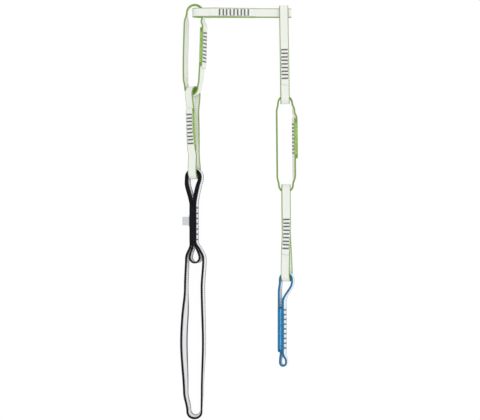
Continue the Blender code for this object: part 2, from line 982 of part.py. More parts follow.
def centre_on_floor(hinge):
    """Move the whole chain so that its box stands centred on the origin, on the floor."""
    bpy.context.view_layer.update()
    corners = [
        part.matrix_world @ Vector(corner)
        for part in bpy.data.objects
        if part.type == "MESH"
        for corner in part.bound_box
    ]
    low = Vector([min(corner[axis] for corner in corners) for axis in range(3)])
    high = Vector([max(corner[axis] for corner in corners) for axis in range(3)])
    middle = (low + high) / 2
    hinge.location -= Vector((middle.x, middle.y, low.z))


def build():
    """Make every body and hang it on the one before it, from the tether to the end loop."""
    clear_scene()
    up = Vector((0, 0, 1))
    foot_1 = Vector((0, 0, 0))
    bend_1 = foot_1 + Vector((0, -doubled_bend, link_1_low_level))
    tether_hinge = new_hinge("tether_frame", foot_1)
    hang_parts(make_tether(), tether_hinge, foot_1, foot_1, standing_turn(90))

    hinge_1 = new_hinge("hinge_tether_link_1", bend_1, tether_hinge, foot_1)
    hang_parts(make_link_1(), hinge_1, bend_1, foot_1, flat_turn(link_1_heading))

    foot_2 = ahead(foot_1, link_1_heading, link_1_reach)
    pivot_2 = foot_2 + up * link_1_high_level
    hinge_2 = new_hinge("hinge_link_1_link_2", pivot_2, hinge_1, bend_1)
    hang_parts(make_link_2(), hinge_2, pivot_2, foot_2, standing_turn(link_2_heading))

    head_2 = ahead(foot_2, link_2_heading, link_2_reach - wide_standing_bend)
    hinge_3 = new_hinge("hinge_link_2_link_3", head_2, hinge_2, pivot_2)
    foot_3 = head_2 + Vector((wide_standing_bend - link_3_slack, link_3_rise, 0))
    hang_parts(make_link_3(), hinge_3, head_2, foot_3, flat_turn(link_3_heading))

    crossing = ahead(foot_3, link_3_heading, link_3_reach - link_4_inset)
    hinge_4 = new_hinge("hinge_link_3_link_4", crossing, hinge_3, head_2)
    foot_4 = ahead(crossing + Vector((0, link_4_rise, 0)), link_4_heading, -link_4_reach)
    hang_parts(make_link_4(), hinge_4, crossing, foot_4, flat_turn(link_4_heading))

    pivot_5 = foot_4 + up * flat_level
    hinge_5 = new_hinge("hinge_link_4_link_5", pivot_5, hinge_4, crossing)
    foot_5 = ahead(foot_4, link_5_heading, -link_5_reach)
    hang_parts(make_link_5(), hinge_5, pivot_5, foot_5, standing_turn(link_5_heading))

    bend_5 = ahead(foot_5, link_5_heading, standing_foot)
    hinge_6 = new_hinge("hinge_link_5_link_6", bend_5, hinge_5, pivot_5)
    foot_6 = ahead(foot_5, link_6_heading, -link_6_reach)
    hang_parts(make_link_6(), hinge_6, bend_5, foot_6, flat_turn(link_6_heading))

    pivot_7 = foot_6 + up * link_6_low_level
    hinge_7 = new_hinge("hinge_link_6_end_loop", pivot_7, hinge_6, bend_5)
    hang_parts(make_end_loop(), hinge_7, pivot_7, foot_6, standing_turn(90))
    centre_on_floor(tether_hinge)


build()
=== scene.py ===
"""Climbing daisy chain, dressed: woven straps, sewn bar tacks and a cloth label.

Every loop is a strap of flat webbing. Its route is the outline of the loop, worked out in
the loop's own frame: X across the loop, Y along it, Z along the webbing's width. The strap
is a closed profile carried along that route. Lengths are metres and angles are degrees.
The patterns read their places in millimetres.
"""

import json
import math

import bpy
import numpy as np
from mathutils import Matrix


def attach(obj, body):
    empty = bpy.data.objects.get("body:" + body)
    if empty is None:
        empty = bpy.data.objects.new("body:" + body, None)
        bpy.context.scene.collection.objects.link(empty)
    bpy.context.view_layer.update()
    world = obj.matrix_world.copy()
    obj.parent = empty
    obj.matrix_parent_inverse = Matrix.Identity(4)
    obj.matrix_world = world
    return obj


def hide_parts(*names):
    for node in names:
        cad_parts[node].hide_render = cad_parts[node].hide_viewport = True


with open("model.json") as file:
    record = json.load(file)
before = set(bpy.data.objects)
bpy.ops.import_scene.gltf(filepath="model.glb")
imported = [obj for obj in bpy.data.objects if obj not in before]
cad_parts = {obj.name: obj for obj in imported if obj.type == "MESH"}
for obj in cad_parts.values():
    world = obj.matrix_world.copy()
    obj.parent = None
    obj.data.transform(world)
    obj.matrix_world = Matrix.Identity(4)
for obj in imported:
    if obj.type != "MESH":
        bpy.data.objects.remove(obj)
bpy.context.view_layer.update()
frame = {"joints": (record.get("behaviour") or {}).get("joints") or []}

# Webbing
strap_width = 0.0110
strap_thickness = 0.0021
ply_gap = 0.0003
ply_step = strap_thickness + ply_gap
half_strap = strap_thickness / 2

# Bends that wrap a neighbour
bend_slack = 0.0010
doubled_bend_slack = 0.0017
crossed_gap = 0.0005
flat_bend_inner = strap_width / 2 + bend_slack
doubled_bend_inner = strap_width / 2 + doubled_bend_slack
flat_bend = flat_bend_inner + half_strap
doubled_bend = doubled_bend_inner + half_strap
crossed_bend = strap_thickness + crossed_gap
flat_level = flat_bend_inner + strap_thickness
crossed_low_level = crossed_bend + half_strap
crossed_high_level = crossed_low_level + strap_thickness + crossed_gap

# Sewn overlap of a link
overlap_length = 0.0500
overlap_ramp = 0.0070
link_tack_count = 9
link_tack_pitch = 0.0044

# Bends of the standing loops, at mid webbing
standing_bend = 0.0086
wide_standing_bend = 0.0098
standing_belly = 0.0104
link_2_belly = 0.0101
belly_reach = 0.0100
link_5_shoulder_reach = 0.0070

# Lean of the webbing, its upper edge to the left
link_1_foot_lean = 18.0
link_1_lean = 34.0
link_2_foot_lean = 24.0
link_2_lean = 30.0
link_5_right_lean = -14.0
link_6_lean = 15.0
tether_lean = 20.0
tether_belly_lean = 50.0
tether_right_belly_lean = 16.0
tether_right_hip_lean = 8.0
tether_toe_lean = 22.0
tether_toe_nod = 20.0
tether_block_lean = 18.0
end_loop_lean = 23.0
end_small_eye_lean = 10.0

# How far a lean takes to change, and where the turn of link 1 starts
lean_fade = 0.0140
side_fade = 0.0060
nod_fade = 0.0300
link_1_level = 0.0120
link_1_turn = 0.0450
link_6_turn = 0.0600

# Waist of link 1: half its width, and how far from its bends
link_1_waist = 0.0048
link_1_waist_reach = 0.0240

# Reach of each link, from bend to bend, and its heading in the plan
link_1_reach = 0.0944
link_1_heading = 91.2
link_2_reach = 0.1083
link_2_heading = 88.5
link_3_reach = 0.1089
link_3_slack = 0.0045
link_3_rise = 0.0003
link_4_reach = 0.1084
link_4_heading = 90.8
link_4_inset = 0.0062
link_4_rise = 0.0058
link_5_reach = 0.1143
link_5_heading = 90.6
link_6_reach = 0.1012
link_6_heading = 90.5
crossing_level = 0.0160

# Where each link's inner ply starts, measured up the link from its lower bend
link_1_seam = 0.0265
link_2_seam = 0.0820
link_3_seam = 0.0167
link_4_seam = 0.0645
link_5_seam = 0.0890
link_6_seam = 0.0745

# Tether, of a thinner webbing
tether_strap_thickness = 0.0019
tether_ply_step = tether_strap_thickness + ply_gap
tether_eye_bend = 0.0084
tether_eye_neck = 0.0350
tether_block_length = 0.0430
tether_small_eye_bend = 0.0060
tether_small_eye_start = 0.0020
tether_small_eye_drop = 0.0196
tether_shoulder_half = 0.0107
tether_shoulder_drop = 0.0205
tether_waist_half = 0.0101
tether_waist_drop = 0.0560
tether_belly_half = 0.0122
tether_belly_drop = 0.1230
tether_lean_drop = 0.0940
tether_hip_half = 0.0101
tether_hip_drop = 0.1830
tether_toe_bend = 0.0078
tether_toe_drop = 0.2058
tether_neck_shift = -0.0013
tether_neck_rise = 0.0245
tether_block_shift = -0.0005
tether_flare_shift = 0.0013
tether_flare_drop = 0.0090
tether_shoulder_shift = 0.0017
tether_waist_shift = 0.0001
tether_belly_shift = -0.0007
tether_hip_shift = -0.0006
tether_toe_shift = 0.0008
tether_tack_count = 7
tether_tack_pitch = 0.0064
tether_join_share = 0.45
tether_join_gap = 0.00005
tether_free_swell = 0.00022
tether_neck_swell = 0.00080
tether_free_start = 0.0060
tether_free_end = 0.0120
tether_neck_reach = 0.0150

# Label
label_reach = 0.0066
label_length = 0.0104
label_thickness = 0.0005
label_leg_foot = 0.0014
label_leg_top = 0.0042
label_bend = 0.0010
label_turn = 82.0
label_fold_bend = 0.00055
label_return = 0.0044
label_gap = 0.0003
label_tacks = (3, 4)

# End loop, of a thicker webbing
end_strap_thickness = 0.0024
end_ply_step = end_strap_thickness + ply_gap
end_eye_bend = 0.00755
end_eye_hold = 0.0035
end_eye_neck_right = 0.0270
end_eye_neck_left = 0.0140
end_block_drop = 0.0315
end_block_length = 0.0578
end_block_shift = 0.0060
end_ply_setback = 0.0006
end_small_eye_bend = 0.0037
end_small_eye_drop = 0.0122
end_small_eye_hold = 0.0026
end_small_eye_shift = 0.0038
end_tack_count = 9
end_tack_pitch = 0.0058
end_block_level = 0.0082

# Bar tacks: a dense zigzag of thread on each face
tack_length = 0.0078
tack_width = 0.0020
thread_radius = 0.00023
stitches_per_tack = 32
stitch_points = 5
stitch_sink = 0.00030
stitch_lift = 0.00012
thread_sides = 6
stitch_roundness = 0.7

# Fineness of the woven surfaces
route_step = 0.00045
route_softness = 0.0009
side_points = 900
arc_points = 181
face_columns = 15
edge_columns = 9
millimetres = 1000

# Relief of a strap: thin middle, beads along its edges, cut ends, dips and puffs where sewn
mid_thinning_share = 0.05
bead_pitch = 0.0026
bead_height = 0.00005
end_depth_share = 0.3
end_width_share = 0.97
seam_slant_share = 0.16
slant_reach = 0.0080
tack_dip = 0.00016
tack_dip_reach = 0.0011
tack_dip_breadth = 0.0042
tack_dip_squareness = 6
sewn_swell = 0.00011
sewn_swell_reach = 0.0030
core_reach = 0.0014

# Roll of the edges over the face where a bend is tight: bends are radians for each metre
roll_least_bend = 60.0
roll_full_bend = 105.0
roll_reach = 0.0060
roll_stretch = 9.0
# Painted light: how far the edge threads are lightened where an edge rolls over the face, against the
# shade inside a tight bend
rolled_edge_painted_light = 6.0

# Label cloth
label_step = 0.0001
label_softness = 0.00012
label_columns = 48
label_squareness = 0.25
label_ripple = 0.00012
label_ripple_pitch = 0.0150

# Coloured edge of the webbing, in millimetres: where it starts and is full, and its ripple
green_band = (4.94, 5.20)
green_ripple = 0.70
black_band = (3.75, 4.05)
black_ripple = 1.30
blue_band = (4.10, 4.40)
blue_ripple = 0.70
edge_fuzz = 0.25

# Weave, yarns and thread: pitches and places in millimetres, slopes, and strands
chevron_slope = 0.45
rib_pitch = 1.10
yarn_pitch = 0.78
strand_pitch = 1.30
strand_slope = 0.70
twist_pitch = 0.80
twist_strands = 2
groove_start = 4.35
groove_end = 4.75
label_yarn = 0.45
hem_start = 4.3
hem_full = 4.7

# Mottling: how fine each kind is, for each millimetre, and its detail
fibre_scale = 4.0
cloud_scale = 0.35
strand_scale = 1.6
speck_scale = 0.60
plain_detail = 2.0
cloud_detail = 3.0
speck_detail = 1.0

# Light threads in the middle of the sewn plies, and the specks among them; on the rolled edges of tight
# bends the same lightening is painted light against their shade
sewn_and_painted_thread_light = 0.40
speck_glow = 0.75
speck_start = 0.47
speck_full = 0.55

# Shares of each pattern in a finish's shade and relief
cloud_share = 0.5
weave_share = 0.5
least_weave = 0.5
weave_relief = 0.6
groove_relief = 0.3
fuzz_relief = 0.25
strand_relief = 0.35
patch_share = 0.6
winding_share = 0.4
hem_share = 0.5

# Finish: shine and relief
webbing_roughness = 0.78
thread_roughness = 0.62
label_roughness = 0.70
webbing_sheen = 0.04
thread_sheen = 0.03
cloth_shine = 0.15
weave_height = 0.00016
weave_strength = 0.55
thread_height = 0.00006
label_height = 0.00005

# Colours, each red, green and blue: the dark and the light one of a finish
green_face = (0.820, 0.840, 0.785), (0.925, 0.945, 0.890)
black_face = (0.800, 0.805, 0.825), (0.920, 0.925, 0.945)
blue_face = (0.760, 0.850, 0.930), (0.860, 0.940, 0.990)
green_edge = (0.150, 0.260, 0.050), (0.450, 0.680, 0.180)
black_edge = (0.004, 0.004, 0.006), (0.013, 0.013, 0.018)
blue_edge = (0.004, 0.065, 0.140), (0.100, 0.460, 0.880)
thread_shades = (0.100, 0.100, 0.115), (0.250, 0.250, 0.270)
label_shades = (0.560, 0.580, 0.600), (0.760, 0.780, 0.800)
floor_colour = (0.96, 0.96, 0.96)
white = (1, 1, 1, 1)

# Floor and light
floor_reach = 4.0
floor_roughness = 0.90
floor_glow_share = 0.92
floor_glow_strength = 1.02
world_strength = 0.93
sun_energy = 0.30
sun_spread = 50.0
sun_height = 50.0
sun_heading = 0.0

# Camera: the photograph's width and scale, and the place under its middle
image_columns = 480
image_pixel = 0.00122
camera_height = 2.60
camera_across = 0.00075
camera_along = 0.00175
sensor_width = 36.0

# Places of the colour sockets on Blender's Mix node
mix_share = 0
mix_first = 6
mix_second = 7
mix_colour = 2


def leaning_half(bend, lean):
    """Half the height of a flat link's bend that leans by an angle."""
    turn = math.radians(lean)
    return (bend + half_strap) * math.cos(turn) + strap_width / 2 * math.sin(turn)


def nested(bend, stack):
    """How far a standing bend passes the centre of the flat bend that wraps it."""
    inner = math.sqrt((bend - stack / 2) ** 2 - (strap_width / 2) ** 2)
    return (bend - inner - stack / 2) / 2


link_1_low_level = leaning_half(doubled_bend, link_1_foot_lean)
link_1_high_level = leaning_half(doubled_bend, link_1_lean)
link_6_low_level = leaning_half(flat_bend, link_6_lean)
standing_foot = standing_bend - nested(standing_bend, strap_thickness)
tether_eye_stack = tether_strap_thickness + tether_ply_step
tether_eye_place = nested(tether_eye_bend, tether_eye_stack) - tether_eye_bend
end_eye_place = nested(end_eye_bend, end_strap_thickness) - end_eye_bend
tether_block_start = tether_eye_place - tether_eye_neck
tether_block_end = tether_block_start - tether_block_length
tether_toe = tether_block_end - tether_toe_drop
tether_small_eye = tether_block_end - tether_small_eye_drop
tether_hip = tether_block_end - tether_hip_drop
tether_belly = tether_block_end - tether_belly_drop
tether_waist = tether_block_end - tether_waist_drop
tether_shoulder = tether_block_end - tether_shoulder_drop
tether_outer_bend = tether_eye_bend + tether_ply_step / 2
tether_inner_bend = tether_eye_bend - tether_ply_step / 2
tether_block_half = tether_ply_step + tether_ply_step / 2
tether_stack = 4 * tether_strap_thickness + 3 * ply_gap
end_block_start = end_eye_place - end_block_drop
end_block_end = end_block_start - end_block_length
end_small_eye = end_block_end - end_small_eye_drop
end_small_eye_top = end_small_eye + end_small_eye_hold
seam_slants = (seam_slant_share, -seam_slant_share)
butted = (0, 0)


def ease(start, end, place):
    """Share s of the way from start to end, eased as s squared times (3 - 2 s)."""
    share = np.clip((place - start) / (end - start), 0, 1)
    return share * share * (3 - 2 * share)


def keyed(*keys):
    """Function of a place that eases from each (place, value) key to the next."""
    ordered = sorted(keys)

    def value_at(place):
        value = np.full(np.shape(place), float(ordered[0][1]))
        for (start, first), (end, last) in zip(ordered, ordered[1:]):
            value = np.where(place >= start, first + (last - first) * ease(start, end, place), value)
        return value

    return value_at


def level(value):
    """Function that gives one value at every place."""
    return lambda place: np.full(np.shape(place), float(value))


def mirrored(across):
    """Function that gives the other's value with its sign turned."""
    return lambda place: -across(place)


def offset(centre, half, way):
    """Side of a loop: its middle line plus (way 1) or minus (way -1) half its width."""
    return lambda place: centre(place) + way * half(place)


def arc(across, along, radius, start, end):
    """Arc in the loop's plane: centre plus radius times (cosine, sine) of the turn."""
    turns = np.radians(np.linspace(start, end, arc_points))
    return np.stack((across + radius * np.cos(turns), along + radius * np.sin(turns)), 1)


def side(low, high, across):
    """Side of a loop: (across(y), y) for y from low to high, without its ends."""
    places = np.linspace(low, high, side_points)[1:-1]
    return np.stack((across(places), places), 1)


def ring(low_bend, high_bend, low, high, right, left, low_across=0, high_across=0):
    """Closed outline: up the right side, round the top, down the left side, round the foot.

    The bends are half circles about (low_across, low) and (high_across, high).
    """
    return np.concatenate((
        side(low, high, right),
        arc(high_across, high, high_bend, 0, 180),
        side(high, low, left),
        arc(low_across, low, low_bend, 180, 360),
    ))


def opened(outline, seam, upward):
    """The closed outline as an open path from where its right side passes the seam."""
    path = outline if upward else outline[::-1]
    rising = np.roll(path[:, 1], -1) > path[:, 1]
    miss = np.where(rising == upward, np.abs(path[:, 1] - seam), np.inf)
    path = np.roll(path, -np.argmin(miss), axis=0)
    return np.concatenate((path, path[:1]))


def run_of(points):
    """Distance along a path to each of its points."""
    steps = np.linalg.norm(np.diff(points, axis=0), axis=1)
    return np.concatenate(([0], np.cumsum(steps)))


def evened(path, reach=math.inf, step=route_step):
    """Points at even steps along a path, up to a reach: read off against its run."""
    run = run_of(path)
    reach = min(reach, run[-1])
    places = np.linspace(0, reach, round(reach / step) + 1)
    return np.stack([np.interp(places, run, column) for column in path.T], 1)


def softened(points, softness=route_softness, step=route_step):
    """The path with its corners eased: each point is the bell-weighted mean of its neighbours."""
    reach = math.ceil(3 * softness / step)
    offsets = np.arange(-reach, reach + 1) * step
    weights = np.exp(-(offsets / softness) ** 2 / 2)
    weights /= weights.sum()
    padded = np.pad(points, ((reach, reach), (0, 0)), mode="reflect", reflect_type="odd")
    return np.stack([np.convolve(column, weights, "valid") for column in padded.T], 1)


def unit(vectors):
    """Each vector divided by its length."""
    return vectors / np.linalg.norm(vectors, axis=-1, keepdims=True)


def dot(first, second):
    """Dot product of each vector with its partner, as a column."""
    return (first * second).sum(-1, keepdims=True)


def squared(widths, centres):
    """(tangent, width, normal) along a path: the width is made square to the tangent."""
    tangents = unit(np.gradient(centres, axis=0))
    widths = unit(widths - tangents * dot(tangents, widths))
    return tangents, widths, np.cross(tangents, widths)


def both(lean):
    """Lean that is the same on both sides of a loop."""
    return lambda across, along: lean(along)


def sided(left, right):
    """Lean l + (r - l) s, from l on a loop's left side to r on its right, s eased across."""

    def lean(across, along):
        return left(along) + (right(along) - left(along)) * ease(-side_fade, side_fade, across)

    return lean


def laid(path, twist, lean, rise, nod=level(0)):
    """(centres, widths) of a flat path in space.

    A point (x, y) goes to (x cos t, y, x sin t) with t the twist at y, plus the rise at y.
    The webbing's width points along (-sin l, -sin n, cos l) with l the lean at (x, y) and
    n the nod at y.
    """
    across, along = path.T
    turn = np.radians(twist(along))
    centres = np.stack((across * np.cos(turn), along, across * np.sin(turn)), 1) + rise(along)
    tip = np.radians(lean(across, along))
    widths = np.stack((-np.sin(tip), -np.sin(np.radians(nod(along))), np.cos(tip)), 1)
    return softened(centres), widths


def lifted(*keys):
    """Rise of a standing loop: its height is keyed."""
    height = keyed(*keys)
    return lambda along: np.stack((0 * along, 0 * along, height(along)), 1)


def raised(*keys):
    """Rise of a flat loop, whose across direction is up: its height is keyed."""
    height = keyed(*keys)
    return lambda along: np.stack((height(along), 0 * along, 0 * along), 1)


def standing_turn(heading):
    """Turn that keeps a standing loop upright and points its length along a heading."""
    turn = math.radians(heading - 90)
    return np.array((
        (math.cos(turn), -math.sin(turn), 0),
        (math.sin(turn), math.cos(turn), 0),
        (0, 0, 1),
    ))


def flat_turn(heading):
    """Turn that lays a loop flat, its right side up, its length along a heading."""
    return standing_turn(heading) @ np.array(((0, 0, -1), (0, 1, 0), (1, 0, 0)))


def ahead(start, heading, reach):
    """The point at a reach from another, along a heading in the plan."""
    turn = math.radians(heading)
    return start + reach * np.array((math.cos(turn), math.sin(turn), 0))


def profile():
    """Closed outline of the webbing's section: (across, depth), each from -1 to 1.

    The two faces are thinner in the middle by a share that fades with the place across
    squared. They join in round edges: half circles, on a strap of a link's thickness.
    """
    edge = strap_thickness / strap_width
    face = np.linspace(edge - 1, 1 - edge, face_columns)
    thin = 1 - mid_thinning_share * (1 - (face / (1 - edge)) ** 2)
    turn = np.linspace(-math.pi / 2, math.pi / 2, edge_columns + 2)[1:-1]
    right = np.stack((1 - edge + edge * np.cos(turn), np.sin(turn)), 1)
    return np.concatenate((
        np.stack((face, -thin), 1),
        right,
        np.stack((-face, thin), 1),
        right * (-1, -1),
    ))


def grid_faces(rows, columns):
    """Quads between the rings of a tube: each joins a point to the next on both ways."""
    row, column = np.meshgrid(np.arange(rows - 1), np.arange(columns), indexing="ij")
    here = row * columns + column
    beside = row * columns + (column + 1) % columns
    return np.stack((here, beside, beside + columns, here + columns), -1).reshape(-1, 4)


def tube_mesh(name, tubes):
    """Closed tubes through rings of points, with a flat cap at each end.

    Each tube is (rings, lay of its weave, sewn share), and the mesh keeps the last two as
    attributes for its finish. On a strap the sewn share also holds painted light, where
    an edge rolls over a tight bend.
    """
    points, lays, shares, faces = [], [], [], []
    start = 0
    for rings, lay, sewn in tubes:
        rows, columns = rings.shape[:2]
        faces += (grid_faces(rows, columns) + start).tolist()
        faces.append(list(range(start + columns - 1, start - 1, -1)))
        faces.append(list(range(start + (rows - 1) * columns, start + rows * columns)))
        points.append(rings.reshape(-1, 3))
        lays.append(lay.reshape(-1, 3))
        shares.append(np.broadcast_to(sewn, (rows, columns)).reshape(-1))
        start += rows * columns
    mesh = bpy.data.meshes.new(name)
    mesh.from_pydata(np.concatenate(points).tolist(), [], faces)
    pattern = mesh.attributes.new("lay", "FLOAT_VECTOR", "POINT")
    pattern.data.foreach_set("vector", np.concatenate(lays).reshape(-1).astype(np.float32))
    # The sewn attribute also holds painted light: lighter edge threads where an edge rolls over a tight
    # bend
    held = mesh.attributes.new("sewn", "FLOAT", "POINT")
    held.data.foreach_set("value", np.concatenate(shares).astype(np.float32))
    mesh.shade_smooth()
    return mesh


def dips(centres, tangents, tacks):
    """Share of the full dip under the tacks: a bell round each tack, along the strap's run."""
    total = np.zeros(len(centres))
    for tack in tacks:
        away = centres - tack[0]
        along = dot(away, tangents)[:, 0]
        beside = np.linalg.norm(away - tangents * along[:, None], axis=1)
        total += np.exp(-(along / tack_dip_reach) ** 2) * (beside < strap_width / 2)
    return np.minimum(total, 1)


def swell(centres, tacks):
    """Share of the full puff of a sewn strap: 1 along the row of tacks, fading past its ends."""
    first, last = tacks[0][0], tacks[-1][0]
    span = last - first
    reach = np.linalg.norm(span)
    place = (centres - first) @ span / reach
    foot = first + np.outer(np.clip(place / reach, 0, 1), span)
    near = np.linalg.norm(centres - foot, axis=1) < strap_width
    fade = ease(-sewn_swell_reach, 0, place) * ease(reach + sewn_swell_reach, reach, place)
    return fade * near


def core(rings, tacks):
    """Nearness to the middle of the sewn plies: a bell of each point's height over it."""
    height = (rings - tacks[0][0]) @ tacks[0][3]
    return np.exp(-(height / core_reach) ** 2)


def rolled(tangents, normals, run, depth):
    """Share of a full roll of the edges over the face: it grows with the bend, on its inside.

    The bend is the change of the tangent along the normal, from a reach behind a place to
    a reach ahead of it, for each metre between them.
    """
    behind = np.searchsorted(run, run - roll_reach)
    beyond = np.minimum(np.searchsorted(run, run + roll_reach), len(run) - 1)
    turning = (tangents[beyond] - tangents[behind]) / (run[beyond] - run[behind])[:, None]
    bend = np.sum(turning * normals, axis=1)
    return ease(roll_least_bend, roll_full_bend, np.outer(bend, depth))


def fullness(centres, tacks, eye):
    """How much fuller a tether strap is where it is free of the tacks.

    Gives it below the tacks, above them, and in the neck above them, where it fades out
    again towards the eye. Each is eased in past the last tack.
    """
    along = centres[:, 1:2]
    below = ease(tether_free_start, tether_free_end, tacks[0][0][1] - along)
    above = ease(tether_free_start, tether_free_end, along - tacks[-1][0][1])
    neck = above * ease(eye, eye - tether_neck_reach, along)
    return tether_free_swell * below, tether_free_swell * above, tether_neck_swell * neck


def strap_mesh(
    name, centres, widths, tacks, slants, thickness=strap_thickness, rolls=0, fuller=(0, 0)
):
    """A woven strap: the profile carried along the route.

    A point of the profile goes to centre + across * half width * width direction
    + depth * half thickness * normal. The half width ripples with the weave's beads. The
    half thickness puffs between the tacks, dips under them, and is fuller by one amount on
    the side that the normal points to and by another on the opposite side. Each end is cut
    at its slant and drawn in, but butted ends, which have no slant, are left full. The lay
    is stretched where the edges roll over the face, so that their colour widens there, and
    the edge threads there are lightened as painted light against the shade inside the bend.
    """
    tangents, widths, normals = squared(widths, centres)
    run = run_of(centres)
    across, depth = profile().T
    beads = bead_height * np.sin(2 * math.pi * run / bead_pitch)
    half_width = strap_width / 2 + beads
    sewn = swell(centres, tacks)[:, None]
    half_depth = thickness / 2 + sewn_swell * sewn + np.where(depth > 0, *fuller)
    breadth = np.exp(-(across * strap_width / 2 / tack_dip_breadth) ** tack_dip_squareness)
    press = np.outer(dips(centres, tangents, tacks), breadth)
    end = np.minimum(run, run[-1] - run)
    near_end = np.clip(end / half_strap, 0, 1) if any(slants) else np.ones(len(run))
    drawn = np.sqrt(near_end * (2 - near_end))[:, None]
    depths = depth * (half_depth - tack_dip * press) * (end_depth_share + (1 - end_depth_share) * drawn)
    spread = across * half_width[:, None] * (end_width_share + (1 - end_width_share) * drawn)
    shear = slants[0] * ease(slant_reach, 0, run)
    shear += slants[1] * ease(run[-1] - slant_reach, run[-1], run)
    slide = spread * shear[:, None]
    rings = (
        centres[:, None]
        + widths[:, None] * spread[..., None]
        + normals[:, None] * depths[..., None]
        + tangents[:, None] * slide[..., None]
    )
    roll = rolled(tangents, normals, run, depth) * rolls
    out = across * strap_width / 2 * (1 + roll_stretch * roll)
    lay = np.stack(np.broadcast_arrays(out, run[:, None], depth * thickness / 2), -1)
    # The last share lights the edge threads: in the middle of the sewn plies, and as painted light
    # where an edge rolls over a tight bend
    return tube_mesh(name, [(rings, lay * millimetres, sewn * core(rings, tacks) + rolled_edge_painted_light * roll)])


def placed(points, turn, foot):
    """Points of a loop's own frame, turned and moved into their place on the chain."""
    return points @ turn.T + foot


def link_tacks(centres, widths, outward):
    """Frames of a link's tacks: (middle of both plies, tangent, width, normal, depth).

    They are spread evenly about the middle of the overlap, along the inner ply.
    """
    tangents, widths, normals = squared(widths, centres)
    run = run_of(centres)
    first = (overlap_length - (link_tack_count - 1) * link_tack_pitch) / 2
    deep = strap_thickness + ply_step + 2 * sewn_swell
    tacks = []
    for number in range(link_tack_count):
        step = np.searchsorted(run, first + number * link_tack_pitch)
        centre = centres[step] + normals[step] * outward * ply_step / 2
        tacks.append((centre, tangents[step], widths[step], normals[step], deep))
    return tacks


def link_route(outline, seam, upward, twist, lean, rise):
    """Route and tacks of a sewn link: once round its outline and over its own start.

    The last stretch, as long as the overlap, steps out by one ply on an eased ramp.
    """
    path = opened(outline, seam, upward)
    once = run_of(path)[-1]
    path = evened(np.concatenate((path, path[1:])), once + overlap_length)
    centres, widths = laid(path, twist, lean, rise)
    normals = squared(widths, centres)[2]
    run = run_of(centres)
    outer = run[-1] - overlap_length
    outward = 1 if upward else -1
    step_out = ply_step * ease(outer - overlap_ramp, outer, run) * outward
    centres = centres + normals * step_out[:, None]
    return centres, widths, link_tacks(centres, widths, outward)


def link_1_route():
    """Leaning flat link that takes the tether's eye, closer together at its middle."""
    half = keyed(
        (0, doubled_bend),
        (link_1_waist_reach, link_1_waist),
        (link_1_reach - link_1_waist_reach, link_1_waist),
        (link_1_reach, doubled_bend),
    )
    outline = ring(doubled_bend, doubled_bend, 0, link_1_reach, half, mirrored(half))
    twist = keyed((link_1_level, link_1_foot_lean), (link_1_level + link_1_turn, link_1_lean))
    rise = raised((0, link_1_low_level), (link_1_reach, link_1_high_level))
    return link_route(outline, link_1_seam, True, twist, both(twist), rise)


def bellied(head, head_bend, belly, head_reach=belly_reach):
    """Half width of a standing link: it opens from its bends to a belly between them."""
    return keyed(
        (standing_foot, standing_bend),
        (standing_foot + belly_reach, belly),
        (head - head_reach, belly),
        (head, head_bend),
    )


def leaning(head, foot_lean, lean):
    """Lean of a standing link: it fades in above its foot and out again below its head."""
    return keyed(
        (standing_foot, foot_lean),
        (standing_foot + lean_fade, lean),
        (head - lean_fade, lean),
        (head, 0),
    )


def link_2_route():
    """Standing link in the bend of link 1: it leans at its middle and is upright on top."""
    head = link_2_reach - wide_standing_bend
    half = bellied(head, wide_standing_bend, link_2_belly)
    outline = ring(standing_bend, wide_standing_bend, standing_foot, head, half, mirrored(half))
    twist = keyed((standing_foot, link_2_foot_lean), (link_2_reach / 2, 0))
    lean = leaning(head, link_2_foot_lean, link_2_lean)
    rise = lifted((0, link_1_high_level), (link_2_reach, flat_level))
    return link_route(outline, link_2_seam, False, twist, both(lean), rise)


def crossed_outline(reach, crossed_level):
    """Outline of a flat link that is open at its foot and closed down at its head."""
    level_end = reach - crossing_level
    front = keyed((0, flat_level + flat_bend), (level_end, crossed_level + crossed_bend))
    back = keyed((0, flat_level - flat_bend), (level_end, crossed_level - crossed_bend))
    return ring(flat_bend, crossed_bend, 0, reach, front, back, flat_level, crossed_level)


def link_3_route():
    """Flat link across the top: open round link 2, closed down round link 4."""
    outline = crossed_outline(link_3_reach, crossed_low_level)
    return link_route(outline, link_3_seam, True, level(0), both(level(0)), raised((0, 0)))


def link_4_route():
    """Flat link down the right: closed round the top ply of link 3, open round link 5."""
    outline = crossed_outline(link_4_reach, crossed_high_level)
    return link_route(outline, link_4_seam, False, level(0), both(level(0)), raised((0, 0)))


def link_5_route():
    """Standing link between two flat ones, upright on its left and leaning on its right."""
    head = link_5_reach - standing_foot
    right = bellied(head, standing_bend, standing_belly, link_5_shoulder_reach)
    left = mirrored(bellied(head, standing_bend, standing_belly))
    outline = ring(standing_bend, standing_bend, standing_foot, head, right, left)
    lean = sided(level(0), leaning(head, 0, link_5_right_lean))
    return link_route(outline, link_5_seam, False, level(0), lean, lifted((0, flat_level)))


def link_6_route():
    """Flat link above the end loop, turned a little at its foot."""
    outline = ring(flat_bend, flat_bend, 0, link_6_reach, level(flat_bend), level(-flat_bend))
    twist = keyed((0, link_6_lean), (link_6_turn, 0))
    rise = raised((0, link_6_low_level), (link_6_turn, flat_level))
    return link_route(outline, link_6_seam, False, twist, both(twist), rise)


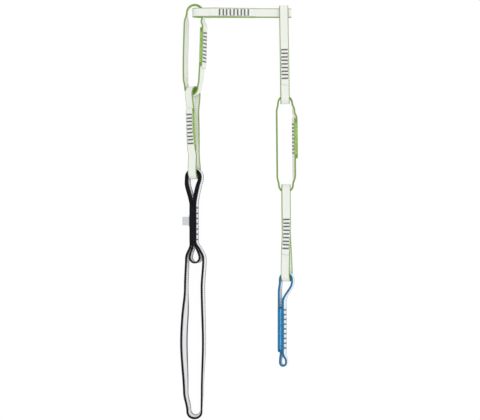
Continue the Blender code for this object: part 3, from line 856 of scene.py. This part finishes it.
# Shape of the tether, each value keyed by the place along it
tether_centre = keyed(
    (tether_toe, tether_toe_shift),
    (tether_hip, tether_hip_shift),
    (tether_belly, tether_belly_shift),
    (tether_waist, tether_waist_shift),
    (tether_shoulder, tether_shoulder_shift),
    (tether_block_end - tether_flare_drop, tether_flare_shift),
    (tether_block_end, tether_block_shift),
    (tether_block_start, tether_block_shift),
    (tether_block_start + tether_neck_rise, tether_neck_shift),
    (tether_eye_place, 0),
)
tether_twist = keyed((tether_waist, 0), (tether_block_end, tether_block_lean))
tether_left_lean = keyed(
    (tether_toe, tether_toe_lean),
    (tether_belly, tether_belly_lean),
    (tether_block_end - tether_lean_drop, tether_belly_lean),
    (tether_waist, tether_lean),
    (tether_block_end, tether_block_lean),
)
tether_right_lean = keyed(
    (tether_toe, 0),
    (tether_hip, tether_right_hip_lean),
    (tether_belly, tether_right_belly_lean),
    (tether_waist, tether_lean),
    (tether_block_end, tether_block_lean),
)
tether_nod = keyed((tether_toe, tether_toe_nod), (tether_toe + nod_fade, 0))
tether_half = keyed(
    (tether_toe, tether_toe_bend),
    (tether_hip, tether_hip_half),
    (tether_belly, tether_belly_half),
    (tether_waist, tether_waist_half),
    (tether_shoulder, tether_shoulder_half),
    (tether_block_end, tether_block_half),
    (tether_block_start, tether_block_half),
    (tether_eye_place, tether_outer_bend),
)
tether_levels = ((tether_toe, strap_width / 2), (0, link_1_low_level))
tether_height = keyed(*tether_levels)


def tether_inner_half(place):
    """Half the inner loop's width: one ply inside the outer loop, or half its small eye.

    The ply's step is square to the outer loop, so across it is longer where that slopes.
    """
    small_eye = keyed(
        (tether_small_eye, tether_small_eye_bend),
        (tether_block_end - tether_small_eye_start, tether_ply_step / 2),
    )
    slope = (tether_half(place + route_step) - tether_half(place - route_step)) / route_step / 2
    inside = tether_half(place) - tether_ply_step * np.hypot(1, slope)
    return np.where(place < tether_block_end, small_eye(place), inside)


def tether_route(half, low, low_bend, eye_bend):
    """Route of one black-edged loop of the tether, its ends butted in the sewn part."""
    right = offset(tether_centre, half, 1)
    left = offset(tether_centre, half, -1)
    outline = ring(low_bend, eye_bend, low, tether_eye_place, right, left, float(tether_centre(low)))
    path = opened(outline, tether_block_start - tether_block_length * tether_join_share, True)
    path = evened(path, run_of(path)[-1] - tether_join_gap)
    lean = sided(tether_left_lean, tether_right_lean)
    return laid(path, tether_twist, lean, lifted(*tether_levels), tether_nod)


def block_tack(place, across, lean, height, deep):
    """Frame of a tack in a sewn part: (centre, tangent, width, normal, depth)."""
    turn = math.radians(lean)
    width = np.array((-math.sin(turn), 0, math.cos(turn)))
    normal = np.array((math.cos(turn), 0, math.sin(turn)))
    centre = np.array((0, place, height)) + normal * across
    return (centre, np.array((0, 1, 0)), width, normal, deep + 2 * sewn_swell)


def tether_tack(number):
    """Frame of a tether tack: those that hold the label go through its leg as well."""
    middle = (tether_block_start + tether_block_end) / 2
    place = middle + (number - (tether_tack_count - 1) / 2) * tether_tack_pitch
    held = label_gap + label_thickness if number in label_tacks else 0
    across = tether_block_shift - held / 2
    height = float(tether_height(place))
    return block_tack(place, across, tether_block_lean, height, tether_stack + held)


def end_loop_tacks():
    """Frames of the end loop's tacks, spread evenly about the middle of its sewn part."""
    middle = (end_block_start + end_block_end) / 2
    first = middle - (end_tack_count - 1) / 2 * end_tack_pitch
    places = [first + number * end_tack_pitch for number in range(end_tack_count)]
    stack = end_strap_thickness + 2 * end_ply_step
    return [
        block_tack(place, -end_block_shift, end_loop_lean, end_block_level, stack)
        for place in places
    ]


def end_loop_route():
    """Route and tacks of the blue-edged strap.

    It runs down, round the small eye, up, round the top eye and down again.
    """
    middle = -end_block_shift
    small = -end_small_eye_shift
    down = keyed((end_block_end, middle), (end_small_eye_top, small - end_small_eye_bend))
    up = keyed(
        (end_small_eye_top, small + end_small_eye_bend),
        (end_block_end, middle + end_ply_step),
        (end_eye_place - end_eye_neck_right, middle + end_ply_step),
        (end_eye_place - end_eye_hold, end_eye_bend),
    )
    back = keyed(
        (end_eye_place - end_eye_neck_left, middle - end_ply_step),
        (end_eye_place - end_eye_hold, -end_eye_bend),
    )
    path = np.concatenate((
        side(end_block_start - end_ply_setback, end_small_eye, down),
        arc(small, end_small_eye, end_small_eye_bend, 180, 360),
        side(end_small_eye, end_eye_place, up),
        arc(0, end_eye_place, end_eye_bend, 0, 180),
        side(end_eye_place, end_block_end, back),
    ))
    upper_lean = (
        (end_block_end, end_loop_lean),
        (end_block_start, end_loop_lean),
        (end_eye_place, link_6_lean),
    )
    twist = keyed((end_small_eye_top, 0), *upper_lean)
    lean = keyed((end_small_eye_top, end_small_eye_lean), *upper_lean)
    rise = lifted(
        (end_small_eye_top, strap_width / 2),
        (end_block_end, end_block_level),
        (end_block_start, end_block_level),
        (end_eye_place, link_6_low_level),
    )
    centres, widths = laid(evened(path), twist, both(lean), rise)
    return centres, widths, end_loop_tacks()


def label_route():
    """Route of the folded label, in its own frame: up its leg, out, round its fold, back."""
    leg = -(tether_stack / 2 + label_gap + label_thickness / 2)
    bend = arc(leg - label_bend, label_leg_top, label_bend, 0, label_turn)
    heading = math.radians(90 + label_turn)
    onward = np.array((math.cos(heading), math.sin(heading)))
    sideways = np.array((onward[1], -onward[0]))
    tip = bend[-1] + onward * label_reach
    pivot = tip - sideways * label_fold_bend
    start = math.degrees(math.atan2(sideways[1], sideways[0]))
    fold = arc(pivot[0], pivot[1], label_fold_bend, start, start + 180)
    close = fold[-1] - onward * label_return
    path = np.concatenate(([(leg, -label_leg_foot)], bend, fold, [close]))
    return softened(evened(path, step=label_step), label_softness, label_step)


def label_mesh(name, tacks):
    """The label as cloth: a thin strip carried along its route.

    The route lies in the frame of the tacks that hold it, midway between them. The strip's
    section is the (cosine, sine) of a turn, each size raised to a small power, which makes
    it nearly a rectangle. A sine wave along the run, times the place across squared, lifts
    its side edges.
    """
    first, last = tacks[label_tacks[0]], tacks[label_tacks[-1]]
    width, normal = first[2:4]
    centre = (first[0] + last[0]) / 2 + normal * (label_gap + label_thickness) / 2
    route = label_route()
    centres = centre + route[:, :1] * normal + route[:, 1:] * width
    widths = np.broadcast_to(np.cross(normal, width), centres.shape)
    widths, normals = squared(widths, centres)[1:]
    turn = np.linspace(0, 2 * math.pi, label_columns, endpoint=False)
    across = np.sign(np.cos(turn)) * np.abs(np.cos(turn)) ** label_squareness
    depth = np.sign(np.sin(turn)) * np.abs(np.sin(turn)) ** label_squareness
    run = run_of(centres)
    ripple = label_ripple * np.sin(2 * math.pi * run / label_ripple_pitch)
    lift = depth * label_thickness / 2 + np.outer(ripple, across ** 2)
    rings = (
        centres[:, None]
        + widths[:, None] * (across * label_length / 2)[None, :, None]
        + normals[:, None] * lift[..., None]
    )
    lay = np.stack(np.broadcast_arrays(across * label_length / 2, run[:, None], depth * 0), -1)
    return tube_mesh(name, [(rings, lay * millimetres, 1.0)])


def tack_path(tack, face, backward):
    """Thread of one tack on one face: a zigzag along the tack's length, as a cosine wave.

    At each half wave the thread dives into the webbing. A short lead runs in and out, so
    that the thread passes from tack to tack on the surface.
    """
    centre, tangent, width, normal, deep = tack
    stitch = np.arange(stitches_per_tack * stitch_points + 1) / stitch_points
    share = stitch / stitches_per_tack - 1 / 2
    across = tack_length * (-share if backward else share)
    along = -tack_width / 2 * np.cos(math.pi * stitch)
    arch = np.abs(np.sin(math.pi * stitch)) ** stitch_roundness
    height = (stitch_sink + stitch_lift) * arch - stitch_sink
    lead = tack_width / 2 + thread_radius * 2
    along = np.concatenate(([-lead], along, [lead]))
    across = np.concatenate((across[:1], across, across[-1:]))
    height = np.concatenate(([stitch_lift], height, [stitch_lift])) + deep / 2 - tack_dip
    offsets = np.stack((along, across, face * height), 1)
    return centre + offsets @ np.stack((tangent, width, normal)), np.tile(normal, (len(along), 1))


def thread_tube(tacks, face):
    """One thread through a row of tacks on one face: circles carried along its path.

    A circle stands square to the path: its first direction is the path's tangent crossed
    with the face's normal, its second is square to both.
    """
    pieces = [tack_path(tack, face, number % 2) for number, tack in enumerate(tacks)]
    path = np.concatenate([piece[0] for piece in pieces])
    normals = np.concatenate([piece[1] for piece in pieces])
    tangents = unit(np.gradient(path, axis=0))
    beside = unit(np.cross(tangents, normals))
    above = np.cross(beside, tangents)
    turn = np.linspace(0, 2 * math.pi, thread_sides, endpoint=False)
    rings = path[:, None] + thread_radius * (
        beside[:, None] * np.cos(turn)[None, :, None] + above[:, None] * np.sin(turn)[None, :, None]
    )
    run = run_of(path)
    lay = np.stack(np.broadcast_arrays(turn, run[:, None] * millimetres, turn * 0), -1)
    return rings, lay, 1.0


def stitching_mesh(name, tacks):
    """All the bar tacks of a sewn part: one run of thread on each of its two faces."""
    return tube_mesh(name, [thread_tube(tacks, 1), thread_tube(tacks, -1)])


def feed(tree, socket, value):
    """Give a socket a plain value, or link it to another node's output."""
    if isinstance(value, bpy.types.NodeSocket):
        tree.links.new(value, socket)
    else:
        socket.default_value = value


def maths(tree, operation, *values):
    """Result of a Math node's operation on plain values or other nodes' outputs."""
    step = tree.nodes.new("ShaderNodeMath")
    step.operation = operation
    for socket, value in zip(step.inputs, values):
        feed(tree, socket, value)
    return step.outputs[0]


def weighted(tree, *parts):
    """Sum of each part's output times its share."""
    last, share = parts[-1]
    total = maths(tree, "MULTIPLY", last, share)
    for part, share in reversed(parts[:-1]):
        total = maths(tree, "MULTIPLY_ADD", part, share, total)
    return total


def wave(tree, turn):
    """Sine of a turn in radians, brought from 0 to 1."""
    return maths(tree, "MULTIPLY_ADD", maths(tree, "SINE", turn), 0.5, 0.5)


def ripples(tree, place, pitch):
    """Sine wave along a place, from 0 to 1: both the place and its pitch are millimetres."""
    return wave(tree, maths(tree, "MULTIPLY", place, 2 * math.pi / pitch))


def smooth_step(tree, value, low, high):
    """Eased step from 0 at the low value to 1 at the high one."""
    step = tree.nodes.new("ShaderNodeMapRange")
    step.interpolation_type = "SMOOTHSTEP"
    feed(tree, step.inputs["Value"], value)
    step.inputs["From Min"].default_value = low
    step.inputs["From Max"].default_value = high
    return step.outputs["Result"]


def between(tree, share, first, second):
    """Colour between two others: the first at share 0 and the second at share 1."""
    step = tree.nodes.new("ShaderNodeMix")
    step.data_type = "RGBA"
    feed(tree, step.inputs[mix_share], share)
    for socket, colour in ((mix_first, first), (mix_second, second)):
        plain = not isinstance(colour, bpy.types.NodeSocket)
        feed(tree, step.inputs[socket], (*colour, 1) if plain else colour)
    return step.outputs[mix_colour]


def mottle(tree, lay, scale, detail=plain_detail):
    """Cloudy pattern on the lay of the weave, from 0 to 1."""
    step = tree.nodes.new("ShaderNodeTexNoise")
    step.inputs["Scale"].default_value = scale
    step.inputs["Detail"].default_value = detail
    tree.links.new(lay, step.inputs["Vector"])
    return step.outputs["Fac"]


def lay_of(tree):
    """The lay vector, and its across, along and depth in millimetres."""
    pattern = tree.nodes.new("ShaderNodeAttribute")
    pattern.attribute_name = "lay"
    parts = tree.nodes.new("ShaderNodeSeparateXYZ")
    tree.links.new(pattern.outputs["Vector"], parts.inputs[0])
    return pattern.outputs["Vector"], parts.outputs[0], parts.outputs[1], parts.outputs[2]


def sewn_and_painted_light_share(tree):
    """The mesh's own share of light on its edge threads: in sewn plies, and painted light against the
    shade where edges roll over tight bends.
    """
    held = tree.nodes.new("ShaderNodeAttribute")
    held.attribute_name = "sewn"
    return held.outputs["Fac"]


def new_finish(name, roughness, sheen):
    """A cloth material with its node tree and shader."""
    finish = bpy.data.materials.new(name)
    finish.use_nodes = True
    shader = finish.node_tree.nodes["Principled BSDF"]
    shader.inputs["Roughness"].default_value = roughness
    shader.inputs["Sheen Weight"].default_value = sheen
    shader.inputs["Specular IOR Level"].default_value = cloth_shine
    return finish, finish.node_tree, shader


def raise_surface(tree, shader, height, distance, strength):
    """Bump: the height pattern, from 0 to 1, lifts the surface by up to the distance."""
    bump = tree.nodes.new("ShaderNodeBump")
    bump.inputs["Distance"].default_value = distance
    bump.inputs["Strength"].default_value = strength
    feed(tree, bump.inputs["Height"], height)
    tree.links.new(bump.outputs["Normal"], shader.inputs["Normal"])


def webbing_finish(name, face, edge, band, ripple):
    """Woven webbing: a pale face in shallow chevrons, and coloured threads at its edges.

    The edge colour starts where the distance from the middle, plus a ripple along the
    strap, passes a limit, so that its border is a row of dots. Its threads are lit in the
    middle of the sewn plies, in specks, and, as painted light against the shade inside
    tight bends, where an edge rolls over the face.
    """
    finish, tree, shader = new_finish(name, webbing_roughness, webbing_sheen)
    lay, across, along, depth = lay_of(tree)
    out = maths(tree, "ABSOLUTE", across)
    bead = ripples(tree, along, bead_pitch * millimetres)
    fuzz = mottle(tree, lay, fibre_scale)
    border = maths(tree, "MULTIPLY_ADD", bead, ripple, out)
    border = maths(tree, "MULTIPLY_ADD", fuzz, edge_fuzz, border)
    coloured = smooth_step(tree, border, *band)

    slope = maths(tree, "MULTIPLY_ADD", out, chevron_slope, along)
    ribs = ripples(tree, slope, rib_pitch)
    yarns = ripples(tree, across, yarn_pitch)
    crossing = maths(tree, "MULTIPLY_ADD", yarns, 1 - least_weave, least_weave)
    weave = maths(tree, "MULTIPLY", ribs, crossing)
    cloud = mottle(tree, lay, cloud_scale, cloud_detail)
    shade = weighted(tree, (cloud, cloud_share), (weave, weave_share))
    pale = between(tree, shade, *face)

    aslant = maths(tree, "MULTIPLY_ADD", depth, strand_slope, along)
    strands = ripples(tree, aslant, strand_pitch)
    strands = maths(tree, "MULTIPLY", strands, mottle(tree, lay, strand_scale))
    speckling = mottle(tree, lay, speck_scale, speck_detail)
    speck = smooth_step(tree, speckling, speck_start, speck_full)
    thread_light = maths(tree, "MULTIPLY_ADD", speck, speck_glow, sewn_and_painted_thread_light)
    # Painted light: on rolled edges the share lifts the edge threads towards their light colour,
    # against the shade inside the bend
    glow = maths(tree, "MULTIPLY_ADD", sewn_and_painted_light_share(tree), thread_light, strands)
    threads = between(tree, maths(tree, "MINIMUM", glow, 1.0), *edge)
    tree.links.new(between(tree, coloured, pale, threads), shader.inputs["Base Color"])

    groove = smooth_step(tree, out, groove_end, groove_start)
    height = weighted(
        tree,
        (strands, strand_relief),
        (fuzz, fuzz_relief),
        (weave, weave_relief),
        (groove, groove_relief),
    )
    raise_surface(tree, shader, height, weave_height, weave_strength)
    return finish


def thread_finish(name):
    """Twisted grey sewing thread: light and dark strands wind round it, in patches.

    Its lay has the turn round the thread, in radians, in place of the place across.
    """
    finish, tree, shader = new_finish(name, thread_roughness, thread_sheen)
    lay, around, along = lay_of(tree)[:3]
    wound = weighted(tree, (along, 2 * math.pi / twist_pitch), (around, twist_strands))
    strands = wave(tree, wound)
    patch = mottle(tree, lay, cloud_scale)
    share = weighted(tree, (patch, patch_share), (strands, winding_share))
    tree.links.new(between(tree, share, *thread_shades), shader.inputs["Base Color"])
    raise_surface(tree, shader, strands, thread_height, weave_strength)
    return finish


def label_finish(name):
    """Bare label cloth: a fine square weave with darker edges."""
    finish, tree, shader = new_finish(name, label_roughness, webbing_sheen)
    lay, across, along = lay_of(tree)[:3]
    crossing = ripples(tree, across, label_yarn)
    weave = maths(tree, "MULTIPLY", crossing, ripples(tree, along, label_yarn))
    cloud = mottle(tree, lay, cloud_scale)
    share = weighted(tree, (cloud, cloud_share), (weave, weave_share))
    hem = smooth_step(tree, maths(tree, "ABSOLUTE", across), hem_start, hem_full)
    shaded = maths(tree, "MULTIPLY", hem, hem_share)
    cloth = between(tree, shaded, between(tree, share, *label_shades), label_shades[0])
    tree.links.new(cloth, shader.inputs["Base Color"])
    raise_surface(tree, shader, weave, label_height, weave_strength)
    return finish


def dressed(mesh, finish, body, node):
    """A piece of the scene: it rides on its body and stands for a node."""
    mesh.materials.append(finish)
    piece = bpy.data.objects.new(mesh.name, mesh)
    bpy.context.scene.collection.objects.link(piece)
    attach(piece, body)
    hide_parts(node)


def moved(tacks, turn, foot):
    """Tack frames turned and moved into their place on the chain."""
    return [
        (placed(centre, turn, foot), turn @ tangent, turn @ width, turn @ normal, deep)
        for centre, tangent, width, normal, deep in tacks
    ]


def dress_loop(body, slot, finish, thread, route, turn, foot, **strap_options):
    """One sewn loop: its woven strap and its bar tacks, in their place on the chain."""
    centres, widths, tacks = route
    centres = placed(centres, turn, foot)
    tacks = moved(tacks, turn, foot)
    strap = strap_mesh(
        f"{body}_strap", centres, widths @ turn.T, tacks, seam_slants, **strap_options
    )
    dressed(strap, finish, body, f"{body}_webbing")
    tacking = stitching_mesh(f"{body}_bar_tacks", tacks)
    dressed(tacking, thread, body, f"{body}_stitching")


def dress_links(foot_1, finish, thread):
    """The six links, each placed from the one before it. Gives the last link's foot."""
    foot_2 = ahead(foot_1, link_1_heading, link_1_reach)
    head_2 = ahead(foot_2, link_2_heading, link_2_reach - wide_standing_bend)
    foot_3 = head_2 + (wide_standing_bend - link_3_slack, link_3_rise, 0)
    crossing = ahead(foot_3, 0, link_3_reach - link_4_inset) + (0, link_4_rise, 0)
    foot_4 = ahead(crossing, link_4_heading, -link_4_reach)
    foot_5 = ahead(foot_4, link_5_heading, -link_5_reach)
    foot_6 = ahead(foot_5, link_6_heading, -link_6_reach)
    links = (
        (link_1_route(), flat_turn(link_1_heading), foot_1),
        (link_2_route(), standing_turn(link_2_heading), foot_2),
        (link_3_route(), flat_turn(0), foot_3),
        (link_4_route(), flat_turn(link_4_heading), foot_4),
        (link_5_route(), standing_turn(link_5_heading), foot_5),
        (link_6_route(), flat_turn(link_6_heading), foot_6),
    )
    for number, link in enumerate(links, 1):
        dress_loop(f"link_{number}", "green_edged_webbing", finish, thread, *link, rolls=1)
    return foot_6


def dress_tether(foot, finish, thread):
    """The tether: its two nested loops, the tacks through them and the label.

    The outer strap is fuller on its outside, and below the tacks on its inside too. The
    inner one is fuller below the tacks on its outside, and in the neck on its inside.
    """
    tacks = moved([tether_tack(number) for number in range(tether_tack_count)], np.eye(3), foot)
    outer = tether_route(tether_half, tether_toe, tether_toe_bend, tether_outer_bend)
    inner = tether_route(
        tether_inner_half, tether_small_eye, tether_small_eye_bend, tether_inner_bend
    )
    for name, node, (centres, widths) in (
        ("tether_outer_strap", "tether_webbing", outer),
        ("tether_inner_strap", "tether_inner_loop", inner),
    ):
        centres = centres + foot
        below, above, neck = fullness(centres, tacks, foot[1] + tether_eye_place)
        fuller = (below + above, below) if node == "tether_webbing" else (below, neck)
        strap = strap_mesh(
            name, centres, widths, tacks, butted, thickness=tether_strap_thickness, fuller=fuller
        )
        dressed(strap, finish, "tether", node)
    tacking = stitching_mesh("tether_bar_tacks", tacks)
    dressed(tacking, thread, "tether", "tether_stitching")
    label = label_mesh("tether_cloth_label", tacks)
    dressed(label, label_finish("label cloth"), "tether", "tether_label")


def studio_floor():
    """A plain pale floor, which glows nearly white to the camera, to gloss and to glass."""
    half = floor_reach
    mesh = bpy.data.meshes.new("studio_floor")
    corners = [(-half, -half, 0), (half, -half, 0), (half, half, 0), (-half, half, 0)]
    mesh.from_pydata(corners, [], [(0, 1, 2, 3)])
    floor = bpy.data.objects.new("studio_floor", mesh)
    bpy.context.scene.collection.objects.link(floor)
    finish = bpy.data.materials.new("pale floor")
    finish.use_nodes = True
    tree = finish.node_tree
    shader = tree.nodes["Principled BSDF"]
    shader.inputs["Base Color"].default_value = (*floor_colour, 1)
    shader.inputs["Roughness"].default_value = floor_roughness
    shader.inputs["Specular IOR Level"].default_value = 0
    glow = tree.nodes.new("ShaderNodeEmission")
    glow.inputs["Strength"].default_value = floor_glow_strength
    blend = tree.nodes.new("ShaderNodeMixShader")
    tree.links.new(maths(tree, "MULTIPLY", seen_directly(tree), floor_glow_share), blend.inputs[0])
    tree.links.new(shader.outputs[0], blend.inputs[1])
    tree.links.new(glow.outputs[0], blend.inputs[2])
    tree.links.new(blend.outputs[0], tree.nodes["Material Output"].inputs["Surface"])
    mesh.materials.append(finish)


def seen_directly(tree):
    """1 for a ray from the camera, or one that gloss or glass sends on."""
    path = tree.nodes.new("ShaderNodeLightPath")
    seen = maths(tree, "MAXIMUM", path.outputs["Is Camera Ray"], path.outputs["Is Glossy Ray"])
    return maths(tree, "MAXIMUM", seen, path.outputs["Is Transmission Ray"])


def studio_world():
    """Even light from all round, and white where a ray sees the world directly."""
    world = bpy.data.worlds.new("studio")
    bpy.context.scene.world = world
    world.use_nodes = True
    tree = world.node_tree
    dim = tree.nodes["Background"]
    dim.inputs["Strength"].default_value = world_strength
    dim.inputs["Color"].default_value = white
    bright = tree.nodes.new("ShaderNodeBackground")
    bright.inputs["Color"].default_value = white
    blend = tree.nodes.new("ShaderNodeMixShader")
    tree.links.new(seen_directly(tree), blend.inputs[0])
    tree.links.new(dim.outputs[0], blend.inputs[1])
    tree.links.new(bright.outputs[0], blend.inputs[2])
    tree.links.new(blend.outputs[0], tree.nodes["World Output"].inputs["Surface"])


def window_light():
    """One broad soft light from the right."""
    sun = bpy.data.lights.new("window_light", "SUN")
    sun.energy = sun_energy
    sun.angle = math.radians(sun_spread)
    lamp = bpy.data.objects.new("window_light", sun)
    lamp.rotation_euler = (0, math.radians(90 - sun_height), math.radians(sun_heading))
    bpy.context.scene.collection.objects.link(lamp)


def overhead_camera():
    """Camera straight above, at the photograph's scale."""
    view = bpy.data.cameras.new("overhead_camera")
    view.sensor_width = sensor_width
    view.lens = sensor_width * camera_height / (image_columns * image_pixel)
    camera = bpy.data.objects.new("overhead_camera", view)
    camera.location = (camera_across, camera_along, camera_height)
    bpy.context.scene.collection.objects.link(camera)
    bpy.context.scene.camera = camera


def dress_chain():
    """Every piece of the chain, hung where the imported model's first joint says."""
    joint = next(item for item in frame["joints"] if item["name"] == "tether_eye_on_link_1")
    foot = np.array(joint["pos_m"], float) + (0, doubled_bend, -link_1_low_level)
    thread = thread_finish("grey thread")
    green = webbing_finish("green-edged webbing", green_face, green_edge, green_band, green_ripple)
    black = webbing_finish("black-edged webbing", black_face, black_edge, black_band, black_ripple)
    blue = webbing_finish("blue-edged webbing", blue_face, blue_edge, blue_band, blue_ripple)
    dress_tether(foot, black, thread)
    last_foot = dress_links(foot, green, thread)
    dress_loop(
        "end_loop", "blue_edged_webbing", blue, thread, end_loop_route(), np.eye(3), last_foot,
        thickness=end_strap_thickness,
    )


overhead_camera()
studio_world()
window_light()
studio_floor()
dress_chain()
bpy.context.scene.view_settings.view_transform = "Standard"
